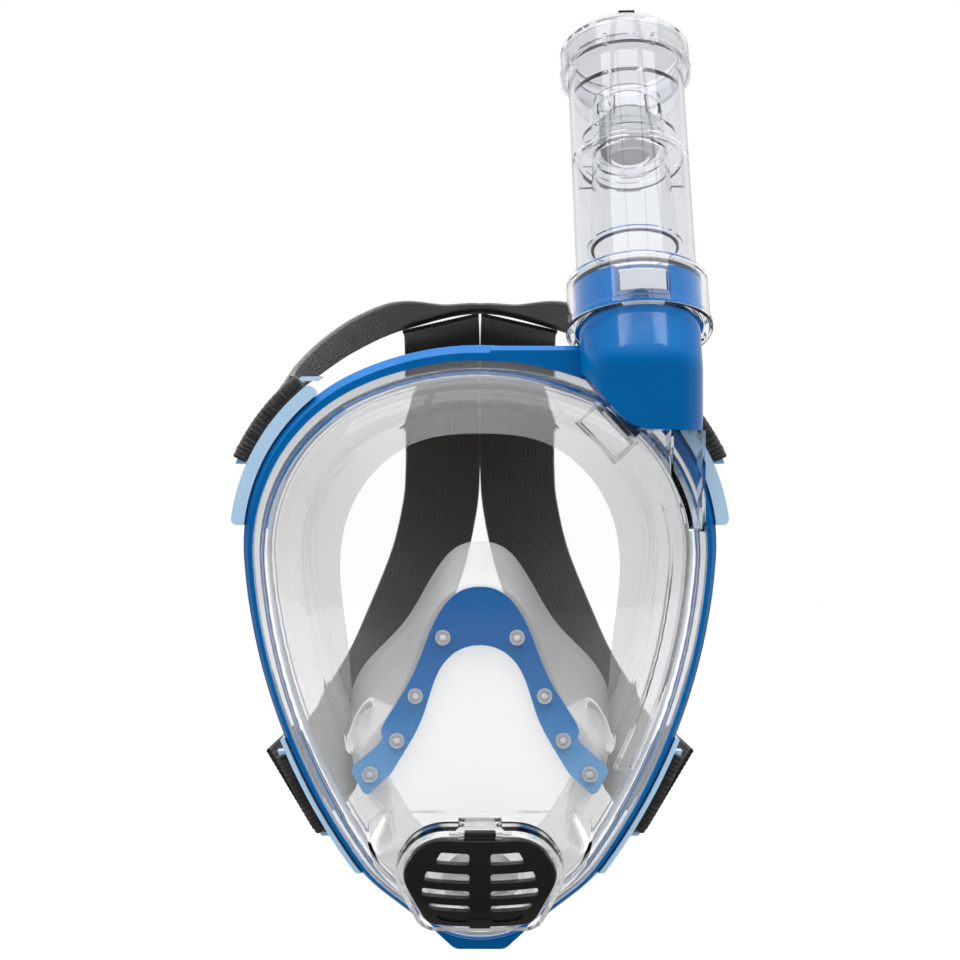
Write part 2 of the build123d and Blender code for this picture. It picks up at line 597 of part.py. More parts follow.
# Cap: a clear rim hangs round the top of the chamber, so air comes in under it; a frosted dome closes it
CAP_LOW = 115.0
CAP_SPLIT = 127.0
CAP_WALL = 1.6
CAP_APEX = 139.8
cap_rim = pipe(CAP_RADIUS, CAP_RADIUS - CAP_WALL, CAP_LOW, CAP_SPLIT)
cap_rim += pipe(CAP_RADIUS + 0.5, CAP_RADIUS - 1, CAP_LOW, CAP_LOW + 1.6)
cap_rim += pipe(CAP_RADIUS - 1, CAP_RADIUS - 3, CAP_SPLIT - 1.6, CAP_SPLIT)
for step in range(8):
    rib_inside = TUBE_RADIUS + 0.05
    rib_outside = CAP_RADIUS - CAP_WALL / 2
    rib = Pos((rib_inside + rib_outside) / 2, 0, CAP_LOW + 3) * Box(rib_outside - rib_inside, 1.6, 5)
    cap_rim += Rot(0, 0, 45 * step + 22.5) * rib - rod(TUBE_RADIUS + 0.05, 100, 130)
cap_rise = CAP_APEX - CAP_SPLIT
cap_curve = (CAP_RADIUS ** 2 + cap_rise ** 2) / (2 * cap_rise)
cap_centre = CAP_APEX - cap_curve
dome_ball = Pos(0, 0, cap_centre) * Sphere(cap_curve)
dome_core = Pos(0, 0, cap_centre) * Sphere(cap_curve - 2)
dome_zone = rod(CAP_RADIUS + 1, CAP_SPLIT + 0.05, CAP_APEX + 3)
top_cap = (dome_ball & dome_zone) - (dome_core & rod(CAP_RADIUS - 2.2, CAP_SPLIT, CAP_APEX))
INSET_TURN = 31.0
inset_place = Pos(0, 0, cap_centre) * Rot(INSET_TURN, 0, 0) * Pos(0, 0, cap_curve)
cap_inset = inset_place * Box(6.6, 3.6, 1.6)
top_cap -= inset_place * Box(6.7, 3.7, 1.7)

snorkel_pieces = {
    "snorkel_tube": tube, "float_chamber": chamber, "tube_collar": collar, "latch_button": latch,
    "collar_o_ring": o_ring, "tube_divider": divider, "float_cage": cage, "float": float_body,
    "float_seal": seal, "dry_valve_seat": valve_ring, "cap_rim": cap_rim, "top_cap": top_cap,
    "cap_inset": cap_inset,
}
for name, solid in snorkel_pieces.items():
    parts[name] = tube_plane * solid

# ---- Strap anchors and webbing loops -----------------------------------------------------------

TAB_WIDTH = 1.5


def rim_piece(outer, inner, z_low, z_high, front, back, x_limit=0.0):
    """Stretch of a band outside the outline, on the left-hand side."""
    zone = block((-130, front - 1, z_low), (x_limit, back + 1, z_high))
    return band(-outer, -inner, front, back) & zone


def anchor(wing, slot, bar, wing_z, bar_z, front, back, x_limit):
    """Wing on the frame with a bar beyond a slot; the webbing goes through the slot."""
    body = rim_piece(wing, FIT / 2, wing_z[0], wing_z[1], front, back, x_limit)
    for corner in (0, -1):
        outer_edge = body.edges().filter_by(Axis.Y).group_by(Axis.Z)[corner].sort_by(Axis.X)[0]
        body = fillet(outer_edge, wing * 0.45)
    body += rim_piece(wing + slot + bar, wing + slot, bar_z[0], bar_z[1], front + 3, back - 3)
    for low in (bar_z[0], bar_z[1] - TAB_WIDTH):
        body += rim_piece(wing + slot + bar, wing - 0.5, low, low + TAB_WIDTH, front + 3, back - 3)
    return body


def webbing_loop(wing, slot, bar, bar_z, front, back, thickness):
    """Webbing folded round the bar, inside the two end tabs."""
    gap = 0.15
    depth = 1 + thickness
    outer = rim_piece(wing + slot + bar + gap + thickness, wing + slot - gap - thickness,
                      bar_z[0] + TAB_WIDTH + gap, bar_z[1] - TAB_WIDTH - gap,
                      front + 3 - depth, back - 3 + depth)
    core = rim_piece(wing + slot + bar + gap, wing + slot - gap, bar_z[0], bar_z[1],
                     front + 3 - gap, back - 3 + gap)
    return outer - core


UPPER = {"wing": 5.5, "slot": 2.6, "bar": 1.8, "bar_z": (62.5, 97.5), "front": -56, "back": -43}
LOWER = {"wing": 2.0, "slot": 1.8, "bar": 1.3, "bar_z": (-86.5, -52.5), "front": -56, "back": -43}
levels = (
    ("upper", UPPER, (38, 98), -66.0, WEBBING_THICKNESS),
    ("lower", LOWER, (-101, -47), 0.0, 1.3),
)
for level, size, wing_z, x_limit, loop_thickness in levels:
    wings = both_sides(anchor(wing_z=wing_z, x_limit=x_limit, **size))
    loops = both_sides(webbing_loop(thickness=loop_thickness, **size))
    for (side, wing_part), (_, loop) in zip(wings, loops):
        parts[f"strap_anchor_{level}_{side}"] = wing_part
        parts[f"strap_loop_{level}_{side}"] = loop

# ---- Head straps -------------------------------------------------------------------------------


def ribbon(stations):
    """Webbing through stations given as centre and width direction, with a flat section at each."""
    centres = [Vector(*centre) for centre, _ in stations]
    sections = []
    for index, (centre, across) in enumerate(stations):
        ahead = centres[min(index + 1, len(centres) - 1)] - centres[max(index - 1, 0)]
        ahead = ahead.normalized()
        width_direction = Vector(*across)
        width_direction -= ahead * ahead.dot(width_direction)
        place = Plane(centre, x_dir=width_direction, z_dir=ahead)
        sections.append(place * Rectangle(WEBBING_WIDTH, WEBBING_THICKNESS))
    return loft(sections, ruled=True)


crown_half = [
    ((-87, -38, 84), (0.60, 0.0, 0.80)),
    ((-87, -12, 89), (0.56, -0.14, 0.81)),
    ((-79, 25, 103), (0.56, -0.32, 0.76)),
    ((-66, 58, 117), (0.55, -0.47, 0.69)),
    ((-49, 88, 129), (0.52, -0.68, 0.52)),
    ((-26, 111, 135.5), (0.36, -0.90, 0.16)),
]
crown_other_half = [((-x, y, z), (-dx, dy, dz)) for (x, y, z), (dx, dy, dz) in reversed(crown_half)]
parts["crown_strap"] = ribbon(crown_half + [((0, 122, 140.4), (0, -1, 0))] + crown_other_half)

back_half = [
    ((-19.5, 108, 132.0), (0.97, 0, 0.22)),
    ((-19.5, 128, 131.6), (0.97, 0, 0.22)),
    ((-19.5, 143, 127.5), (0.98, 0, 0.14)),
    ((-19.4, 150, 114), (1.0, 0, 0.04)),
    ((-19.4, 156, 90), (1.0, 0, 0.0)),
    ((-19.4, 158, 62), (1.0, 0, 0.0)),
    ((-20.6, 157, 42), (0.99, 0, -0.10)),
    ((-27, 150, 14), (0.95, 0, -0.30)),
    ((-40, 125, -20), (0.85, 0, -0.52)),
    ((-48, 98, -38), (0.78, 0, -0.62)),
    ((-56, 60, -51), (0.68, 0, -0.73)),
    ((-64, 15, -60), (0.58, 0, -0.81)),
    ((-75, -38.5, -68), (0.50, 0, -0.86)),
]
for side, strap in both_sides(ribbon(back_half)):
    parts[f"back_strap_{side}"] = strap

# ---- Files -------------------------------------------------------------------------------------

for name, solid in parts.items():
    export_step(solid, f"parts/{name}.step")
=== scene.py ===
from math import cos, pi, radians, sin

import bpy
from mathutils import Matrix, Vector


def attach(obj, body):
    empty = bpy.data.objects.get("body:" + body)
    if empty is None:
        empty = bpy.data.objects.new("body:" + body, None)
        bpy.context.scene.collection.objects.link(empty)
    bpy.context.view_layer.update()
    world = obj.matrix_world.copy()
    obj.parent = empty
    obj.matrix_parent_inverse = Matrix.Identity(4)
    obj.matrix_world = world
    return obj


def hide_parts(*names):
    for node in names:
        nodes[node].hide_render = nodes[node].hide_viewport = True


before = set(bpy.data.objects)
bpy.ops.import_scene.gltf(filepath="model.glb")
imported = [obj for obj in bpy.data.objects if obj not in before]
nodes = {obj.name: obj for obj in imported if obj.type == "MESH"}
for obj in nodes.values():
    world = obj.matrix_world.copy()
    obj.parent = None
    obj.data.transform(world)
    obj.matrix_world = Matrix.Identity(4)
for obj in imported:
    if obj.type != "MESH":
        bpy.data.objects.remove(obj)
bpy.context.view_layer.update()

MM = 0.001

# ---- Shared sizes, in millimetres: the same driving dimensions as the CAD -----------------------

TOP_Z = 110.0
# Half of the mask's outline, from the top down, as arcs of (radius, degrees turned)
OUTLINE_ARCS = ((120.0, 25.0), (76.0, 69.0), (235.0, 32.0), (55.0, 17.0))
WEBBING_WIDTH = 38.0
WEBBING_THICKNESS = 2.0


# ---- Mesh helpers -------------------------------------------------------------------------------

def add_mesh(name, points, faces, material, body, uvs):
    """Makes a smooth mesh from points in millimetres and lets it ride on a CAD body."""
    mesh = bpy.data.meshes.new(name)
    mesh.from_pydata([Vector(p) * MM for p in points], [], faces)
    layer = mesh.uv_layers.new(name="UVMap")
    for loop in mesh.loops:
        layer.data[loop.index].uv = uvs[loop.vertex_index]
    mesh.polygons.foreach_set("use_smooth", [True] * len(mesh.polygons))
    mesh.materials.append(material)
    mesh.update()
    piece = bpy.data.objects.new(name, mesh)
    bpy.context.scene.collection.objects.link(piece)
    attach(piece, body)
    return piece


def ring_faces(rows, columns):
    """Quads between closed rings of points stored row by row."""
    faces = []
    for row in range(rows - 1):
        for column in range(columns):
            here = row * columns
            ahead = here + columns
            next_column = (column + 1) % columns
            faces.append((here + column, here + next_column, ahead + next_column, ahead + column))
    return faces


def tube_faces(rows, count):
    """Faces of a thick tube: each row holds an outer ring, then the inner ring in reverse order."""
    faces = []
    for row in range(rows):
        base = row * 2 * count
        ahead = base + 2 * count
        for index in range(count):
            after = (index + 1) % count
            inside = 2 * count - 1 - index
            inside_after = 2 * count - 1 - after
            if row < rows - 1:
                faces.append((base + index, base + after, ahead + after, ahead + index))
                faces.append((base + inside_after, base + inside, ahead + inside, ahead + inside_after))
            if row == 0:
                faces.append((base + inside, base + inside_after, base + after, base + index))
            if row == rows - 1:
                faces.append((base + index, base + after, base + inside_after, base + inside))
    return faces


def through(values, position):
    """Catmull-Rom value at a position counted in stations."""
    last = len(values) - 1
    start = min(int(position), last - 1)
    t = position - start
    before, a, b, after = (values[min(max(start + step, 0), last)] for step in (-1, 0, 1, 2))
    return (a * 2 + (b - before) * t + (before * 2 - a * 5 + b * 4 - after) * t ** 2
            + (a * 3 - before - b * 3 + after) * t ** 3) / 2


# ---- Material helpers ---------------------------------------------------------------------------

def new_material(name, colour, roughness, **sockets):
    """A Principled material with its own uniform values on the shader's sockets."""
    material = bpy.data.materials.new(name)
    material.use_nodes = True
    shader = material.node_tree.nodes["Principled BSDF"]
    shader.inputs["Base Color"].default_value = (*colour, 1)
    shader.inputs["Roughness"].default_value = roughness
    for socket, value in sockets.items():
        shader.inputs[socket.replace("_", " ")].default_value = value
    return material


def node(material, kind, **settings):
    """Adds a shader node; each setting is one of its properties or one of its inputs."""
    made = material.node_tree.nodes.new(kind)
    for key, value in settings.items():
        if hasattr(made, key):
            setattr(made, key, value)
        else:
            made.inputs[key.replace("_", " ")].default_value = value
    return made


def link(material, source, target):
    material.node_tree.links.new(source, target)


def place(material, uv=False):
    """Coordinates fixed to the piece, or its UV map in millimetres."""
    return node(material, "ShaderNodeTexCoord").outputs["UV" if uv else "Object"]


def separate(material, coordinates):
    """The X, Y and Z outputs of some coordinates, by name."""
    split = node(material, "ShaderNodeSeparateXYZ")
    link(material, coordinates, split.inputs[0])
    return split.outputs


def noise(material, scale, detail=3.0, coordinates=None):
    """Soft mottling, fixed to the piece unless other coordinates are given."""
    texture = node(material, "ShaderNodeTexNoise", Scale=scale, Detail=detail)
    link(material, coordinates or place(material), texture.inputs["Vector"])
    return texture.outputs["Fac"]


def ramp(material, factor, *stops):
    """Colour ramp through (position, colour) stops."""
    made = node(material, "ShaderNodeValToRGB")
    elements = made.color_ramp.elements
    while len(elements) < len(stops):
        elements.new(0.5)
    for element, (position, colour) in zip(elements, stops):
        element.position = position
        element.color = (*colour, 1)
    link(material, factor, made.inputs["Fac"])
    return made.outputs["Color"]


def spread(material, factor, low, high, start=0.3, end=0.7):
    """Maps a factor to a range of values."""
    made = node(material, "ShaderNodeMapRange", From_Min=start, From_Max=end, To_Min=low, To_Max=high)
    link(material, factor, made.inputs["Value"])
    return made.outputs["Result"]


def feed(material, value, target):
    """Gives an input a number or another node's output."""
    if isinstance(value, (int, float)):
        target.default_value = value
    else:
        link(material, value, target)


def calculate(material, operation, first, second=0):
    """A maths node on two values; a sine takes only the first."""
    made = node(material, "ShaderNodeMath", operation=operation)
    feed(material, first, made.inputs[0])
    feed(material, second, made.inputs[1])
    return made.outputs[0]


def choose(material, factor, value_at_zero, value_at_one):
    """Blends two values by a factor."""
    made = node(material, "ShaderNodeMix", data_type="FLOAT")
    link(material, factor, made.inputs[0])
    feed(material, value_at_zero, made.inputs[2])
    feed(material, value_at_one, made.inputs[3])
    return made.outputs[0]


def drive(material, socket, source):
    """Links a source to a socket of the material's own shader."""
    shader = material.node_tree.nodes["Principled BSDF"]
    link(material, source, shader.inputs[socket])


def bump(material, height, depth_mm, strength):
    """Fine relief from a height texture."""
    made = node(material, "ShaderNodeBump", Strength=strength, Distance=depth_mm * MM)
    link(material, height, made.inputs["Height"])
    drive(material, "Normal", made.outputs["Normal"])


def let_light_through(material):
    """Clear plastic casts no shadow of its own, as a thin clear wall hardly does."""
    tree = material.node_tree
    shader = tree.nodes["Principled BSDF"]
    output = tree.nodes["Material Output"]
    clear = node(material, "ShaderNodeBsdfTransparent")
    path = node(material, "ShaderNodeLightPath")
    mix = node(material, "ShaderNodeMixShader")
    link(material, path.outputs["Is Shadow Ray"], mix.inputs[0])
    link(material, shader.outputs[0], mix.inputs[1])
    link(material, clear.outputs[0], mix.inputs[2])
    link(material, mix.outputs[0], output.inputs["Surface"])


# ---- Materials ----------------------------------------------------------------------------------

def make_blue(name, deep, pale):
    """Glossy moulded plastic with a faint orange peel and a slight cloudiness in its colour."""
    material = new_material(name, deep, 0.10, IOR=1.46)
    drive(material, "Base Color", ramp(material, noise(material, 28, 2), (0.35, deep), (0.65, pale)))
    drive(material, "Roughness", spread(material, noise(material, 190, 4), 0.07, 0.16))
    bump(material, noise(material, 900, 2), 0.02, 0.25)
    return material


def make_bracket_blue():
    """The bracket's blue is deep at its arch and paler down its thinner legs: the paleness is a painted
    reflection of the lens on the bracket's ends, with a little random cloudiness.
    """
    deep, middle, pale = (0.0, 0.09, 0.30), (0.02, 0.15, 0.38), (0.13, 0.30, 0.52)
    foot_height, arch_height = -0.066, 0.0
    material = make_blue("bracket_blue", deep, pale)
    # Painted reflection: the base colour pales with height from the arch down to the feet, plus random
    # cloudiness
    up = separate(material, place(material))["Z"]
    height = spread(material, up, 0.0, 1.0, foot_height, arch_height)
    painted_reflection_and_cloud = calculate(material, "ADD", height, spread(material, noise(material, 60, 3), -0.05, 0.05))
    drive(material, "Base Color", ramp(material, painted_reflection_and_cloud, (0.05, pale), (0.45, middle), (0.85, deep)))
    return material


def make_clear(name, tint, rough=(0.015, 0.05), bending=1.46):
    """Polycarbonate: clear, with slight mould waves and rubbed patches in its gloss."""
    material = new_material(name, tint, rough[0], IOR=bending, Transmission_Weight=1.0)
    drive(material, "Roughness", spread(material, noise(material, 120, 4), rough[0], rough[1]))
    bump(material, noise(material, 55, 1), 0.05, 0.25)
    let_light_through(material)
    return material


def make_silicone(name, colour, clearness, edge):
    """Translucent silicone: see-through face on, milkier where it is looked along."""
    material = new_material(name, colour, 0.36, IOR=1.41)
    facing = node(material, "ShaderNodeLayerWeight", Blend=0.35).outputs["Facing"]
    drive(material, "Alpha", spread(material, facing, clearness, edge, 0.0, 1.0))
    drive(material, "Roughness", spread(material, noise(material, 160, 3), 0.30, 0.45))
    bump(material, noise(material, 700, 3), 0.04, 0.3)
    return material


CORD_SPACING = 0.667
PICK_SPACING = 1.1


def make_webbing(name, dark, light):
    """Knitted elastic: U runs across the ribs, V along them, both in millimetres."""
    material = new_material(name, dark, 0.85, Sheen_Weight=0.25, Sheen_Roughness=0.5)
    uv = place(material, uv=True)
    axes = separate(material, uv)
    across, along = axes["X"], axes["Y"]
    picks = calculate(material, "SINE", calculate(material, "MULTIPLY", along, 2 * pi / PICK_SPACING))
    cords = calculate(material, "SINE", calculate(material, "MULTIPLY", across, 2 * pi / CORD_SPACING))
    knit = calculate(material, "MULTIPLY", picks, cords)
    stretch = node(material, "ShaderNodeMapping", Scale=(1.6, 0.35, 1.0))
    link(material, uv, stretch.inputs["Vector"])
    flecks = noise(material, 1.4, 4, stretch.outputs["Vector"])
    tone = calculate(material, "ADD", flecks, calculate(material, "MULTIPLY", knit, 0.10))
    drive(material, "Base Color", ramp(material, tone, (0.30, dark), (0.72, light)))
    height = calculate(material, "ADD", calculate(material, "MULTIPLY", knit, 0.6), flecks)
    bump(material, height, 0.25, 0.9)
    return material


def make_cover_black():
    """Glossy black moulding with a polished skin and faint rub marks."""
    material = new_material("purge_black", (0.024, 0.022, 0.021), 0.12,
                            Coat_Weight=0.8, Coat_Roughness=0.04)
    drive(material, "Roughness", spread(material, noise(material, 140, 4), 0.08, 0.26))
    bump(material, noise(material, 650, 2), 0.03, 0.35)
    return material


def make_rubber():
    """Matt black rubber of the rings and gaskets."""
    material = new_material("black_rubber", (0.018, 0.018, 0.020), 0.55)
    drive(material, "Roughness", spread(material, noise(material, 300, 3), 0.45, 0.7))
    bump(material, noise(material, 1400, 3), 0.03, 0.5)
    return material


def make_steel():
    """Drawn steel wire, brushed along X."""
    material = new_material("brushed_steel", (0.62, 0.62, 0.63), 0.28, Metallic=1.0)
    stretch = node(material, "ShaderNodeMapping", Scale=(20.0, 600.0, 600.0))
    link(material, place(material), stretch.inputs["Vector"])
    lines = noise(material, 1.0, 2, stretch.outputs["Vector"])
    drive(material, "Roughness", spread(material, lines, 0.18, 0.4))
    bump(material, lines, 0.01, 0.5)
    return material


def make_grey():
    """Foamed grey plastic of the float."""
    dark, light = (0.16, 0.17, 0.18), (0.26, 0.27, 0.28)
    material = new_material("float_grey", dark, 0.45)
    drive(material, "Base Color", ramp(material, noise(material, 220, 3), (0.3, dark), (0.7, light)))
    bump(material, noise(material, 900, 3), 0.04, 0.5)
    return material


blue = make_blue("blue_plastic", (0.0, 0.12, 0.38), (0.0, 0.135, 0.42))
pale_blue = make_blue("light_blue_plastic", (0.46, 0.68, 0.90), (0.52, 0.73, 0.93))
bracket_blue = make_bracket_blue()
clear = make_clear("clear_plastic", (0.985, 0.992, 1.0))
lens_clear = make_clear("lens_clear_plastic", (0.99, 0.995, 1.0), bending=1.25)
tube_clear = make_clear("tube_clear_plastic", (0.89, 0.90, 0.92))
nozzle_clear = make_clear("nozzle_clear_plastic", (0.74, 0.75, 0.78))
frosted = make_clear("frosted_plastic", (0.70, 0.71, 0.73), (0.30, 0.42))
silicone = make_silicone("milky_silicone", (0.60, 0.60, 0.595), 0.27, 0.40)
flap_silicone = make_silicone("valve_silicone", (0.92, 0.92, 0.91), 0.30, 0.75)
stud_white = make_silicone("stud_white", (0.58, 0.60, 0.62), 0.62, 0.95)
cover_black = make_cover_black()
rubber = make_rubber()
steel = make_steel()
float_grey = make_grey()
black_webbing = make_webbing("black_webbing", (0.004, 0.0031, 0.0025), (0.031, 0.025, 0.019))
# Crown strap: the same black webbing as the back straps, with a paler base colour that paints the light
# falling on it from above
grey_webbing = make_webbing("grey_webbing", (0.065, 0.065, 0.066), (0.12, 0.12, 0.122))

finish_of_slot = {
    "blue_plastic": blue, "light_blue_plastic": pale_blue, "clear_plastic": clear,
    "frosted_plastic": frosted, "milky_silicone": silicone, "valve_silicone": flap_silicone,
    "black_plastic": cover_black, "black_rubber": rubber, "steel": steel, "grey_plastic": float_grey,
    "black_webbing": black_webbing, "grey_webbing": grey_webbing,
}
# Nodes whose finish differs from that of the other pieces with the same slot
finish_of_node = {
    "pocket_bracket": bracket_blue, "bracket_studs": stud_white, "latch_button": stud_white,
    "snorkel_tube": tube_clear, "float_chamber": tube_clear, "cap_rim": tube_clear,
    "inlet_duct": nozzle_clear, "lens": lens_clear, "exhaust_duct": lens_clear,
    "side_channel": lens_clear,
}
for node_name, cad_node in nodes.items():
    for material_slot in cad_node.material_slots:
        slot_finish = finish_of_slot[material_slot.material.name.split(".")[0]]
        material_slot.material = finish_of_node.get(node_name, slot_finish)


# ---- Webbing straps -----------------------------------------------------------------------------

RIB_COUNT = 19
RIB_DEPTH = 0.22
POINTS_PER_RIB = 6
STEPS_PER_STATION = 14
SELVEDGE = 0.8


def webbing_section():
    """Closed cross-section of the webbing as (across, height): ribbed faces and round selvedges."""
    half_width = WEBBING_WIDTH / 2
    half_height = WEBBING_THICKNESS / 2
    columns = RIB_COUNT * POINTS_PER_RIB
    upper = []
    for column in range(columns + 1):
        across = -half_width + WEBBING_WIDTH * column / columns
        groove = abs(cos(pi * RIB_COUNT * (across + half_width) / WEBBING_WIDTH))
        from_edge = min(half_width - abs(across), SELVEDGE) / SELVEDGE
        rounding = (1 - from_edge) ** 2 * 0.7
        upper.append((across, half_height - RIB_DEPTH * groove ** 3 - rounding * half_height))
    return upper + [(across, -height) for across, height in reversed(upper)]


def ribbon(name, stations, material):
    """Ribbed webbing along stations of (centre, width direction)."""
    section = webbing_section()
    centres = [Vector(centre) for centre, _ in stations]
    acrosses = [Vector(across).normalized() for _, across in stations]
    rows = (len(stations) - 1) * STEPS_PER_STATION + 1
    points = []
    uvs = []
    length = 0.0
    previous = centres[0]
    for row in range(rows):
        position = row / STEPS_PER_STATION
        centre = through(centres, position)
        ahead = (through(centres, min(position + 0.05, len(stations) - 1))
                 - through(centres, max(position - 0.05, 0))).normalized()
        across = through(acrosses, position)
        across = (across - ahead * ahead.dot(across)).normalized()
        up = ahead.cross(across)
        length += (centre - previous).length
        previous = centre
        for side, height in section:
            points.append(centre + across * side + up * height)
            uvs.append((side, length))
    faces = ring_faces(rows, len(section))
    first_row = list(range(len(section)))
    last_row = [(rows - 1) * len(section) + index for index in first_row]
    faces += [tuple(reversed(last_row)), tuple(first_row)]
    strap = add_mesh(name, points, faces, material, "mask", uvs)
    return strap, length


def mirrored(stations):
    """The same stations on the other side of the head."""
    return [((-x, y, z), (-dx, dy, dz)) for (x, y, z), (dx, dy, dz) in stations]


# Stations of (centre, width direction), as in the CAD but for the ends, which run on to the loops. The
# crown strap starts at the upper anchor's loop; the back strap starts under the crown strap and runs
# down the back of the head to the lower anchor's loop.
CROWN_HALF = [
    ((-87, -44.3, 83), (0.60, 0.04, 0.80)),
    ((-87, -12, 89), (0.56, -0.14, 0.81)),
    ((-79, 25, 103), (0.56, -0.32, 0.76)),
    ((-66, 58, 117), (0.55, -0.47, 0.69)),
    ((-49, 88, 129), (0.52, -0.68, 0.52)),
    ((-26, 111, 135.5), (0.36, -0.90, 0.16)),
]
CROWN_MIDDLE = [((0, 122, 140.4), (0, -1, 0))]
BACK_HALF = [
    ((-19.1, 108, 132.0), (0.97, 0, 0.22)),
    ((-19.1, 128, 131.6), (0.97, 0, 0.22)),
    ((-19.1, 143, 127.5), (0.98, 0, 0.14)),
    ((-19.05, 150, 114), (1.0, 0, 0.04)),
    ((-19.05, 156, 90), (1.0, 0, 0.0)),
    ((-19.05, 158, 62), (1.0, 0, 0.0)),
    ((-20.6, 157, 42), (0.99, 0, -0.10)),
    ((-27, 150, 14), (0.95, 0, -0.30)),
    ((-40, 125, -20), (0.85, 0, -0.52)),
    ((-48, 98, -38), (0.78, 0, -0.62)),
    ((-56, 60, -51), (0.68, 0, -0.73)),
    ((-64, 15, -60), (0.58, 0, -0.81)),
    ((-76.3, -44.9, -69.1), (0.50, 0, -0.86)),
]
crown_stations = CROWN_HALF + CROWN_MIDDLE + list(reversed(mirrored(CROWN_HALF)))
strap_pieces = (
    ("crown_strap", crown_stations, grey_webbing, "grey_webbing"),
    ("back_strap_left", BACK_HALF, black_webbing, "black_webbing"),
    ("back_strap_right", mirrored(BACK_HALF), black_webbing, "black_webbing"),
)
for cad_name, stations, material, slot_name in strap_pieces:
    strap, strap_length = ribbon(cad_name + "_webbing", stations, material)
    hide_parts(cad_name)


# ---- Webbing loops round the anchor bars --------------------------------------------------------

def outline_walk(step_mm=0.5):
    """Points and outward directions down the left half of the mask outline, in X and Z."""
    points = []
    position = Vector((0, TOP_Z))
    heading = 180.0
    for radius, turn in OUTLINE_ARCS:
        steps = int(radius * radians(turn) / step_mm)
        centre = position + Vector((cos(radians(heading + 90)), sin(radians(heading + 90)))) * radius
        for count in range(steps + 1):
            angle = radians(heading - 90 + turn * count / steps)
            outward = Vector((cos(angle), sin(angle)))
            points.append((centre + outward * radius, outward))
        heading += turn
        position = points[-1][0]
    return points


OUTLINE = outline_walk()


def outline_below(z, distance):
    """Place on the outline whose point at that distance outside it is nearest to the height z."""
    return min(OUTLINE, key=lambda spot: abs((spot[0] + spot[1] * distance).y - z))


POINTS_PER_CORNER = 7


def racetrack(half_out, half_back, radius):
    """Rounded rectangle as (outward, back) offsets."""
    ring = []
    for corner, (out_sign, back_sign) in enumerate(((1, 1), (-1, 1), (-1, -1), (1, -1))):
        for count in range(POINTS_PER_CORNER):
            angle = radians(90 * corner + 90 * count / (POINTS_PER_CORNER - 1))
            ring.append((out_sign * (half_out - radius) + radius * cos(angle),
                         back_sign * (half_back - radius) + radius * sin(angle)))
    return ring


TAB_WIDTH = 1.5
BAR_INSET = 3.0
LOOP_GAP = 0.15
LOOP_CORNER = 0.6
LOOP_COLUMNS = 84
LOOP_RIBS = 18
LOOP_SELVEDGE_SHARE = 1 / 40
LOOP_UV_STEP = 0.9


def webbing_loop(name, mirror_sign, wing, slot, bar, bar_z, front, back, thickness):
    """Webbing wound once round an anchor bar, ribbed around the bar."""
    low = bar_z[0] + TAB_WIDTH + LOOP_GAP
    high = bar_z[1] - TAB_WIDTH - LOOP_GAP
    middle_out = wing + slot + bar / 2
    middle_back = (front + back) / 2
    half_out = bar / 2 + LOOP_GAP
    half_back = (back - front) / 2 - BAR_INSET + LOOP_GAP
    inner = racetrack(half_out, half_back, LOOP_CORNER)
    points = []
    uvs = []
    for column in range(LOOP_COLUMNS + 1):
        across = column / LOOP_COLUMNS
        place_xz, outward = outline_below(low + (high - low) * across, middle_out)
        groove = abs(cos(pi * LOOP_RIBS * across)) ** 3
        from_edge = min(across, 1 - across) / LOOP_SELVEDGE_SHARE
        edge = 0.45 * thickness * max(0.0, 1 - from_edge) ** 2
        here = thickness - RIB_DEPTH * groove - edge
        outer = racetrack(half_out + here, half_back + here, LOOP_CORNER + here)
        for index, (out, behind) in enumerate(outer + list(reversed(inner))):
            spot = place_xz + outward * (middle_out + out)
            points.append((mirror_sign * spot.x, middle_back + behind, spot.y))
            uvs.append((across * (high - low), index * LOOP_UV_STEP))
    loop = add_mesh(name, points, tube_faces(LOOP_COLUMNS + 1, len(inner)), black_webbing, "mask",
                    uvs)
    # Once round the bar, half-way through the webbing
    around = 2 * (2 * half_out + 2 * half_back + 2 * thickness)
    return loop, (high - low, around)


# Each anchor's wing and slot widths, its bar's width and height range, its front and back planes, and
# the thickness of the webbing round it
UPPER = {"wing": 5.5, "slot": 2.6, "bar": 1.8, "bar_z": (62.5, 97.5), "front": -56, "back": -43,
         "thickness": WEBBING_THICKNESS}
LOWER = {"wing": 2.0, "slot": 1.8, "bar": 1.3, "bar_z": (-86.5, -52.5), "front": -56, "back": -43,
         "thickness": 1.3}
for level, size in (("upper", UPPER), ("lower", LOWER)):
    for side, sign in (("left", 1), ("right", -1)):
        cad_name = f"strap_loop_{level}_{side}"
        loop, (across_mm, around_mm) = webbing_loop(cad_name + "_webbing", sign, **size)
        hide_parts(cad_name)


# ---- Stage, light and camera --------------------------------------------------------------------

